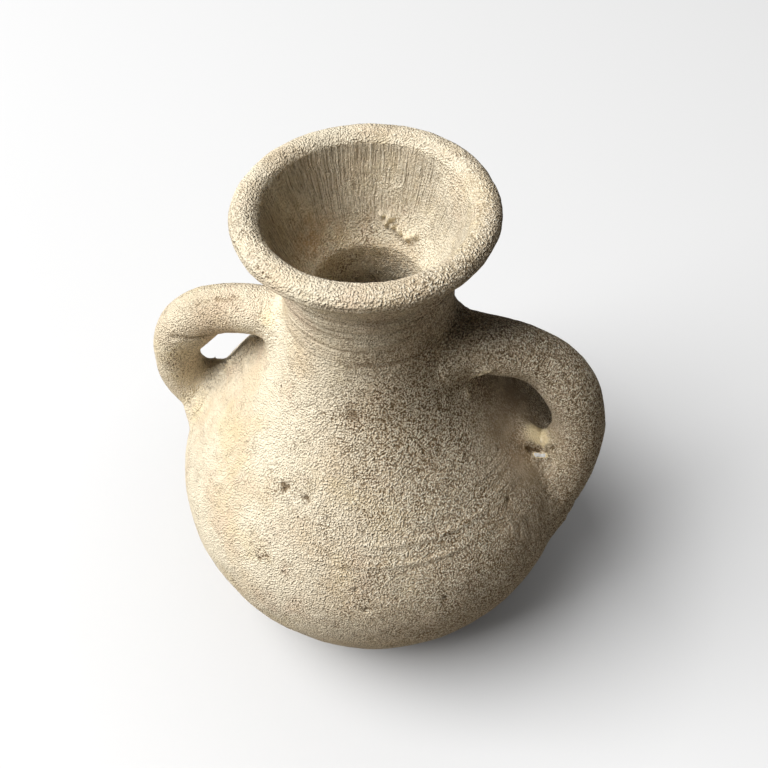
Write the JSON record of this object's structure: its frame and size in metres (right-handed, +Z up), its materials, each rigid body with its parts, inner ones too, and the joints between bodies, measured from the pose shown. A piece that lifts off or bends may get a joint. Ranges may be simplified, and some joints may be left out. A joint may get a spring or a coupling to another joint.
{
  "type": "miniature vase",
  "caption": "Miniature hand-made clay vase with a round body, a waisted neck, a flared funnel mouth with a thick rolled lip, and rolled loop handles from neck to shoulder.",
  "frame": {"origin": "centre of the flat base, on the surface that the vase stands on", "axes": "+Z up the vase's axis, +X towards the right handle, +Y towards the back, away from the picture's viewer"},
  "size_m": [0.0903, 0.08, 0.1],
  "materials": {
    "body_clay": "matt, sandy",
    "rim_clay": "matt, wiped",
    "handle_clay": "matt, sandy",
    "luting_clay": "matt, smeared"
  },
  "bodies": {
    "root": {"base_disc": "body_clay", "lower_bowl": "body_clay", "shoulder": "body_clay", "neck": "body_clay", "mouth_collar": "rim_clay", "rim_roll": "rim_clay", "handle_left": "handle_clay", "handle_right": "handle_clay", "upper_wad_left": "luting_clay", "upper_wad_right": "luting_clay", "lower_wad_left": "luting_clay", "lower_wad_right": "luting_clay"}
  },
  "joints": []
}
